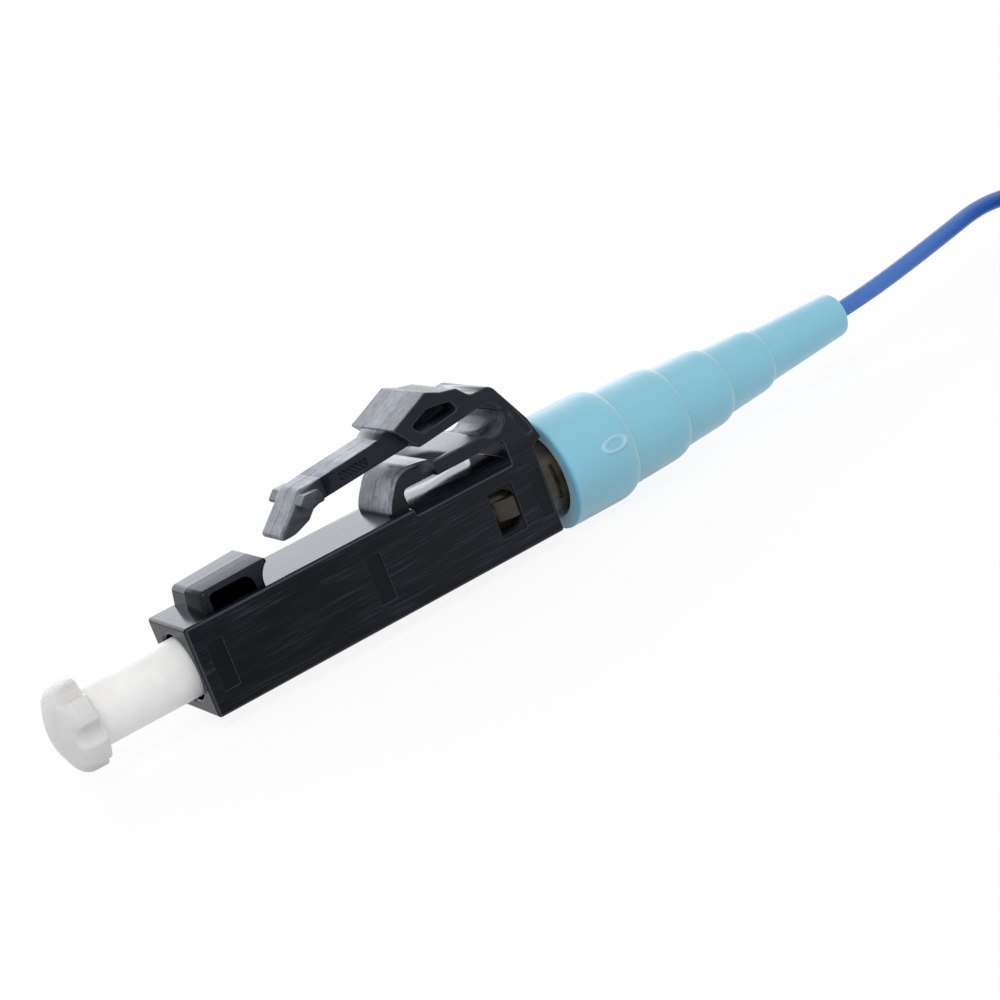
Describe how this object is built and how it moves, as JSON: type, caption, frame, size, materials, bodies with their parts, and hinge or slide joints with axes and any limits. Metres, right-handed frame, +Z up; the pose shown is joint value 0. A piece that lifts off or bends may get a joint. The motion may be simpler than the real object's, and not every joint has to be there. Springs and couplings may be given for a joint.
{
  "type": "lc fibre connector",
  "caption": "Small square fibre plug with a rear-hinged push latch, sprung ferrule, fluted dust cap and stepped strain-relief boot on a thin buffered fibre.",
  "frame": {"origin": "under the middle of the length from the dust cap's nose to the boot's end, on the level of the boot's lowest line", "axes": "+X along the fibre from the dust cap to the cable, +Z up from the fibre axis to the latch, +Y sideways"},
  "size_m": [0.0736, 0.0149, 0.01],
  "materials": {
    "housing_black": "moulded gloss with fine lengthwise streaks",
    "cap_white": "soft satin",
    "boot_aqua": "soft matte elastomer",
    "smoky_plastic": "smoky translucent",
    "zirconia": "polished ceramic",
    "plated_metal": "nickel plated",
    "spring_steel": "drawn wire",
    "glass": "clear",
    "liner_natural": "natural milky",
    "fibre_blue": "smooth satin"
  },
  "bodies": {
    "plug": {"plug_housing": "housing_black", "latch_hinge": "housing_black", "rear_body": "smoky_plastic", "liner_tube": "liner_natural", "strain_relief_boot": "boot_aqua", "buffer_in_boot": "fibre_blue", "buffer_flex": "fibre_blue", "ferrule_spring": "spring_steel", "fibre_tail": "fibre_blue", "fibre_coil": "fibre_blue"},
    "latch": {"latch_lever": "housing_black"},
    "ferrule_group": {"ferrule": "zirconia", "ferrule_flange": "plated_metal", "glass_fibre": "glass", "buffer_held": "fibre_blue"},
    "cap": {"dust_cap": "cap_white"}
  },
  "joints": [
    {"name": "latch_press", "type": "hinge", "parent": "plug", "child": "latch", "pos_m": [0.00232, 0, 0.00782], "axis": [0, -1, 0], "range_deg": [0, 5], "stiffness_Nm_per_rad": 0.12, "deforming": ["latch_hinge"]},
    {"name": "ferrule_float", "type": "slide", "parent": "plug", "child": "ferrule_group", "axis": [1, 0, 0], "range_m": [0, 0.0009], "stiffness_N_per_m": 2500, "deforming": ["ferrule_spring", "buffer_flex"]},
    {"name": "dust_cap_pull", "type": "slide", "parent": "ferrule_group", "child": "cap", "axis": [-1, 0, 0], "range_m": [0, 0.012]}
  ]
}
